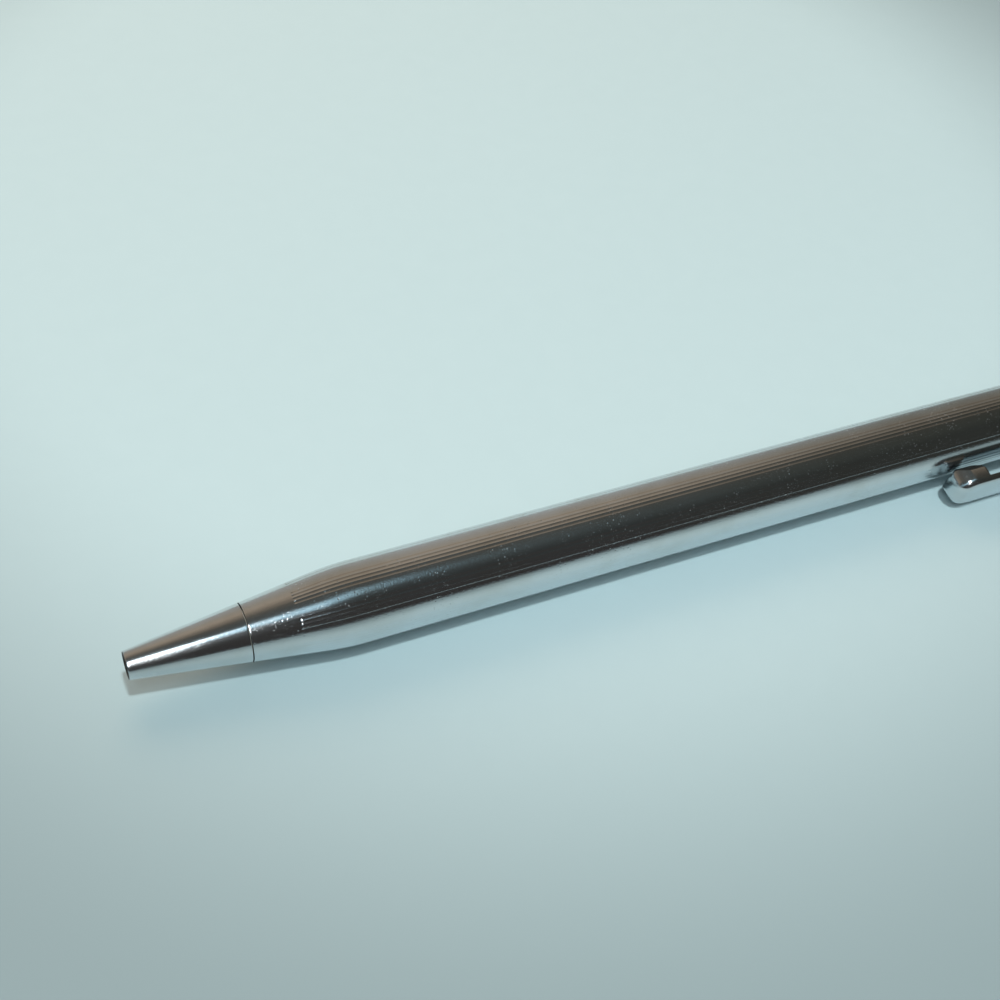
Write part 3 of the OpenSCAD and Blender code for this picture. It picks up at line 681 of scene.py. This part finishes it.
def crown_height(along, side):
    """Height of the free end's outer side over the axis, rounded to the front and both sides, in mm."""
    front = max(0, clip_nose - along)
    front_drop = clip_nose - math.sqrt(clip_nose ** 2 - front ** 2)
    edge = clip_edge + (clip_nose - clip_edge) * (1 - along / foot_len) ** 2
    short = min(edge, max(0, edge - half_w(along) + abs(side)))
    side_drop = edge - math.sqrt(edge ** 2 - short ** 2)
    drop = (front_drop ** crown_power + side_drop ** crown_power) ** (1 / crown_power)
    return max(outer_h(along) - drop, foot_height(along, side))


foot_shape = bmesh.new()
for height in (foot_height, crown_height):
    skin = bmesh.ops.create_grid(foot_shape, x_segments=foot_steps, y_segments=foot_steps, size=0.5)
    for vert in skin["verts"]:
        along = foot_len / 2 * (1 - math.cos(math.pi * (vert.co.x + 0.5)))
        side = math.sin(math.pi * vert.co.y) * half_w(along)
        vert.co = clip_point(clip_end + along, side, height(along, side))
    if height is foot_height:
        foot_rim = [edge for edge in foot_shape.edges if edge.is_boundary]
        wall = bmesh.ops.extrude_edge_only(foot_shape, edges=foot_rim)
        for vert in corners_in(wall):
            vert.co.z = crown_height(station_at(vert.co.x) - clip_end, vert.co.y / MM) * MM
bmesh.ops.remove_doubles(foot_shape, verts=foot_shape.verts, dist=weld)
bmesh.ops.dissolve_degenerate(foot_shape, edges=foot_shape.edges, dist=weld)
bmesh.ops.transform(foot_shape, matrix=clip_turn, verts=foot_shape.verts)
piece("clip_foot", foot_shape, clip_plate, "clip", "bright_chrome")

# End collar.
# A turned and plated ring with a domed shoulder, pressed on the neck of the end bush.
# It clamps the clip band and guides the push button.
collar_low, collar_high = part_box("end_collar")
collar_from = station_at(collar_low.x)
collar_to = station_at(collar_high.x)
collar_r = band_r
collar_end_r = 2.95
collar_bore_r = 2.45
collar_neck_r = 3.1
collar_neck_to = 123.6
collar_land = 0.8
dome_from = collar_from + collar_land
dome_steps = 16
dome = []
for step in range(dome_steps + 1):
    turn = math.pi / 2 * step / dome_steps
    dome.append((dome_from + (collar_to - dome_from) * math.sin(turn),
                 collar_end_r + (collar_r - collar_end_r) * math.cos(turn), 0))
collar_shape = turned([
    (collar_from, collar_neck_r, 0),
    (collar_from, collar_r, band_bevel),
] + dome + [
    (collar_to, collar_bore_r, 0),
    (collar_neck_to, collar_bore_r, 0),
    (collar_neck_to, collar_neck_r, 0),
], turn_steps)
piece("collar", collar_shape, trim_plate, "case", "bright_chrome", "end_collar")

# Push button.
# A drawn cap with a flat end and a rounded rim, bright plated.
# The moulded stem of the click mechanism is pressed into it from below.
button_low, button_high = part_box("button_cap")
button_from = station_at(button_low.x)
button_to = station_at(button_high.x)
button_r = (button_high.z - button_low.z) / 2 / MM
button_wall = 0.4
button_end = 1.2
button_lip_round = 0.1
button_rim_round = 1.2
button_shape = turned([
    (button_from, button_r - button_wall, 0),
    (button_from, button_r, button_lip_round),
    (button_to, button_r, button_rim_round),
    (button_to, 0, 0),
    (button_to - button_end, 0, 0),
    (button_to - button_end, button_r - button_wall, 0),
], turn_steps)
piece("push_button", button_shape, trim_plate, "button", "bright_chrome", "button_cap")

# Brass inside the pen.
# The front bush, the end bush and both tubes of the refill are turned or drawn from brass.
# They are never polished, so the tool marks stay on them.
brass_tone = (0.70, 0.52, 0.25, 1)


def dress(material, *nodes):
    """Gives a finish to CAD nodes that keep their own solids."""
    for node in nodes:
        slots = frame["nodes"][node].data.materials
        slots.clear()
        slots.append(material)


brass = turned_metal("turned_brass", brass_tone, roughness=0.20, spread=0.12,
                     rings=6000.0, ring_depth=0.000001)
dress(brass, "front_bush", "end_bush", "slim_tube", "refill_tube")

# Moulded pieces inside the pen.
# The joint ring, stem and refill plug are ivory nylon, and the rotor and cam sleeve are grey acetal.
# They come from the mould with a fine dull skin.
mould_depth = 0.000002
ivory_tone = (0.80, 0.77, 0.68, 1)
ivory_shade = (0.74, 0.70, 0.60, 1)
grey_tone = (0.20, 0.21, 0.23, 1)
grey_shade = (0.16, 0.17, 0.19, 1)
grain, grain_in = effect(
    "moulded_grain",
    [("Place", VECTOR), ("Tone", COLOUR), ("Shade", COLOUR)],
    [("Colour", COLOUR), ("Height", VALUE)],
)
flow_cloud = noise(grain, grain_in["Place"], scale=350.0, detail=4.0)
put(grain, "NodeGroupOutput", inputs={
    "Colour": mixed(grain, flow_cloud, grain_in["Tone"], grain_in["Shade"]),
    "Height": noise(grain, grain_in["Place"], scale=9000.0, detail=2.0)})


def moulded(name, tone, shade, roughness):
    """Moulded plastic with a fine dull skin and faint flow marks."""
    return finish_from(name, grain, mould_depth, {"Tone": tone, "Shade": shade}, {"Roughness": roughness})


dress(moulded("ivory_nylon", ivory_tone, ivory_shade, roughness=0.42),
      "joint_ring", "button_stem", "refill_plug")
dress(moulded("grey_acetal", grey_tone, grey_shade, roughness=0.38), "rotor", "cam_sleeve")

# Ink and grease.
# The refill holds a column of thick blue ink, and a plug of clear grease follows it down the tube.
# Both are soft and glossy, and they fill the tube from wall to wall.
ink_tone = (0.012, 0.018, 0.14, 1)
ink_shade = (0.008, 0.012, 0.10, 1)
grease_tone = (0.72, 0.64, 0.40, 1)
grease_shade = (0.66, 0.58, 0.36, 1)
dress(moulded("blue_ink", ink_tone, ink_shade, roughness=0.12), "ink_column")
dress(moulded("clear_grease", grease_tone, grease_shade, roughness=0.2), "ink_grease")

# Table.
# A wide round table top, pale with a faint mottle, which the pen lies on.
# Its colour carries a painted pool of light: palest behind the pen, with painted shade falling off softly
# toward the viewer and the sides.
table_r = 4
table_tone = (0.585, 0.74, 0.77, 1)
table_mottle = (0.565, 0.72, 0.75, 1)
# The table's painted shade, which its colour falls to away from the painted pool of light.
table_painted_shade = (0.315, 0.405, 0.425, 1)
painted_pool_middle = Vector((tip_x + 60 * MM, axis_y + 60 * MM, 0))
painted_pool_from = 62 * MM
painted_pool_to = 115 * MM
painted_pool_oval = (1.06, 1.0, 1.0)
table_shape = bmesh.new()
bmesh.ops.create_circle(table_shape, cap_ends=True, segments=128, radius=table_r)
table_mesh = bpy.data.meshes.new("table_top")
table_shape.to_mesh(table_mesh)
table_shape.free()
table_skin = moulded("pale_table", table_tone, table_mottle, roughness=0.55)
table_tree = table_skin.node_tree
table_colour = table_tree.nodes["Principled BSDF"].inputs["Base Color"]
table_mottled = table_colour.links[0].from_socket
table_place = put(table_tree, "ShaderNodeTexCoord").outputs["Object"]
table_off = put(table_tree, "ShaderNodeVectorMath", {"operation": "SUBTRACT"}, {
    0: table_place, 1: painted_pool_middle})
table_oval = put(table_tree, "ShaderNodeVectorMath", {"operation": "MULTIPLY"}, {
    0: table_off.outputs["Vector"], 1: painted_pool_oval})
table_far = put(table_tree, "ShaderNodeVectorMath", {"operation": "LENGTH"}, {
    0: table_oval.outputs["Vector"]})
# The painted pool of light: the colour fades to the painted shade with distance from its middle.
painted_pool_fade = fade(table_tree, table_far.outputs["Value"], painted_pool_from, painted_pool_to, smooth=True)
table_tree.links.new(mixed(table_tree, painted_pool_fade, table_mottled, table_painted_shade), table_colour)
table_mesh.materials.append(table_skin)
table = bpy.data.objects.new("table_top", table_mesh)
bpy.context.scene.collection.objects.link(table)

# Light.
# A small cool lamp overhead makes the crisp shadow, which a warm lamp behind the pen and a soft sky fill.
# The plating shows a lamp and two white panels ahead of the tip, a long blue glow and a dim room.
lamp_far = 0.6
back_far = 0.4
cool_white = (0.95, 0.98, 1.0)
tip_middle = Vector((tip_x, axis_y, axis_z))
back_middle = tip_middle + Vector((50 * MM, 0, 0))


def lamp(name, middle, way, far, tall, wide, energy, tone):
    """A lamp that faces a point from a direction and a distance, hidden from the camera."""
    data = bpy.data.lights.new(name, "AREA")
    data.shape = "ELLIPSE"
    data.size = tall
    data.size_y = wide
    data.energy = energy
    data.color = tone
    made = bpy.data.objects.new(name, data)
    toward = Vector(way).normalized()
    made.location = middle + toward * far
    made.rotation_euler = toward.to_track_quat("Z", "X").to_euler()
    made.visible_camera = False
    bpy.context.scene.collection.objects.link(made)
    return made


over_lamp = lamp("over_lamp", tip_middle, way=(0.045, -0.225, 1), far=lamp_far, tall=0.05, wide=0.05,
                 energy=1.85, tone=(0.88, 0.98, 1.0))
over_lamp.visible_glossy = False
back_lamp = lamp("back_lamp", back_middle, way=(0, 0.3, 0.26), far=back_far, tall=0.26, wide=0.3,
                 energy=0.46, tone=(1.0, 0.70, 0.50))
back_lamp.visible_glossy = False
lamp("front_lamp", tip_middle, way=(-0.27, -0.325, 0.906), far=lamp_far, tall=0.09, wide=0.09,
     energy=0.2, tone=(0.93, 0.98, 1.0))
lamp("front_panel", tip_middle, way=(-0.29, -0.49, 0.82), far=lamp_far, tall=0.38, wide=0.06,
     energy=0.21, tone=cool_white)
low_panel = lamp("low_panel", tip_middle, way=(-0.30, -0.62, 0.78), far=lamp_far, tall=0.30, wide=0.06,
                 energy=0.24, tone=cool_white)
low_panel.visible_diffuse = False
sky_data = bpy.data.lights.new("soft_sky", "SUN")
sky_data.energy = 0.60
sky_data.angle = math.radians(150)
sky = bpy.data.objects.new("soft_sky", sky_data)
sky.visible_glossy = False
bpy.context.scene.collection.objects.link(sky)

# The room goes by direction, from the near horizon at 0 over the top to the far horizon at 1.
room_stops = [
    (0.00, (0.036, 0.033, 0.033, 1)),
    (0.19, (0.042, 0.040, 0.038, 1)),
    (0.30, (0.034, 0.037, 0.036, 1)),
    (0.41, (0.058, 0.066, 0.064, 1)),
    (0.52, (0.074, 0.078, 0.072, 1)),
    (0.58, (0.100, 0.092, 0.078, 1)),
    (0.66, (0.240, 0.195, 0.150, 1)),
    (0.73, (0.370, 0.300, 0.230, 1)),
    (0.82, (0.345, 0.300, 0.245, 1)),
    (0.92, (0.345, 0.330, 0.300, 1)),
    (1.00, (0.400, 0.405, 0.395, 1)),
]
right_stops = [
    (0.00, (0.036, 0.037, 0.033, 1)),
    (0.30, (0.032, 0.034, 0.030, 1)),
    (0.41, (0.042, 0.044, 0.037, 1)),
    (0.52, (0.046, 0.046, 0.038, 1)),
    (0.58, (0.058, 0.054, 0.045, 1)),
    (0.66, (0.115, 0.098, 0.076, 1)),
    (0.73, (0.180, 0.152, 0.118, 1)),
    (0.82, (0.185, 0.166, 0.135, 1)),
    (0.92, (0.190, 0.186, 0.165, 1)),
    (1.00, (0.220, 0.225, 0.212, 1)),
]
right_from = 0.39
right_full = 0.56

# The glow is a band on the room's near side that rises to the right and changes in strength along it.
glow_levels = [
    (0.20, 0.9), (0.30, 0.76), (0.42, 0.74), (0.56, 0.55), (0.70, 0.58), (0.92, 0.70), (0.96, 0.0),
]
glow_stops = [(position, (level, level, level, 1)) for position, level in glow_levels]
glow_tone = (0.52, 0.84, 1.0, 1)
glow_at = 0.403
glow_lean = 0.15
glow_core = 0.015
glow_edge = 0.060
glow_reach = 0.25


def shades(tree, share, stops):
    """The colour at a share from 0 to 1, between stops of position and colour."""
    ramp = put(tree, "ShaderNodeValToRGB", inputs={"Fac": share})
    elements = ramp.color_ramp.elements
    while len(elements) < len(stops):
        elements.new(0.5)
    for element, (position, tone) in zip(elements, stops):
        element.position = position
        element.color = tone
    return ramp.outputs["Color"]


room = bpy.data.worlds.new("dim_room")
bpy.context.scene.world = room
room.use_nodes = True
room_tree = room.node_tree
room_way = put(room_tree, "ShaderNodeTexCoord").outputs["Generated"]
room_split = put(room_tree, "ShaderNodeSeparateXYZ", inputs={"Vector": room_way}).outputs
room_near = maths(room_tree, "MULTIPLY", room_split["Y"], -1.0)
room_turn = maths(room_tree, "ARCTAN2", room_split["Z"], room_near)
room_share = maths(room_tree, "DIVIDE", room_turn, math.pi)
room_shades = shades(room_tree, room_share, room_stops)
right_shades = shades(room_tree, room_share, right_stops)
right_side = fade(room_tree, room_split["X"], right_from, right_full)
room_both = mixed(room_tree, right_side, room_shades, right_shades)
glow_middle = maths(room_tree, "MULTIPLY_ADD", room_split["X"], glow_lean, glow_at)
glow_off = maths(room_tree, "SUBTRACT", room_share, glow_middle)
glow_side = maths(room_tree, "ABSOLUTE", glow_off)
glow_band = fade(room_tree, glow_side, glow_edge, glow_core, smooth=True)
glow_along = fade(room_tree, room_split["X"], -glow_reach, glow_reach)
glow = maths(room_tree, "MULTIPLY", glow_band, shades(room_tree, glow_along, glow_stops))
room_glow = mixed(room_tree, glow, room_both, glow_tone, way="ADD")
room_tree.links.new(room_glow, room_tree.nodes["Background"].inputs["Color"])

# Camera.
# It looks down on the tip from the near left, tilted a little, as the photograph does.
# The view is worked out for a square picture.
view_azimuth = math.radians(-28.46)
view_elevation = math.radians(48.0)
view_roll = math.radians(7.14)
eye_from_tip = Vector((-7.66, -78.09, 107.69)) * MM
camera_data = bpy.data.cameras.new("camera")
camera_data.sensor_width = 36
camera_data.lens = 53.28
camera_data.clip_start = 0.005
camera_data.clip_end = 20
camera = bpy.data.objects.new("camera", camera_data)
look = Matrix.Rotation(view_azimuth, 4, "Z") @ Matrix.Rotation(math.pi / 2 - view_elevation, 4, "X")
eye = tip_middle + eye_from_tip
camera.matrix_world = Matrix.Translation(eye) @ look @ Matrix.Rotation(view_roll, 4, "Z")
bpy.context.scene.collection.objects.link(camera)
bpy.context.scene.camera = camera
bpy.context.scene.view_settings.view_transform = "Standard"
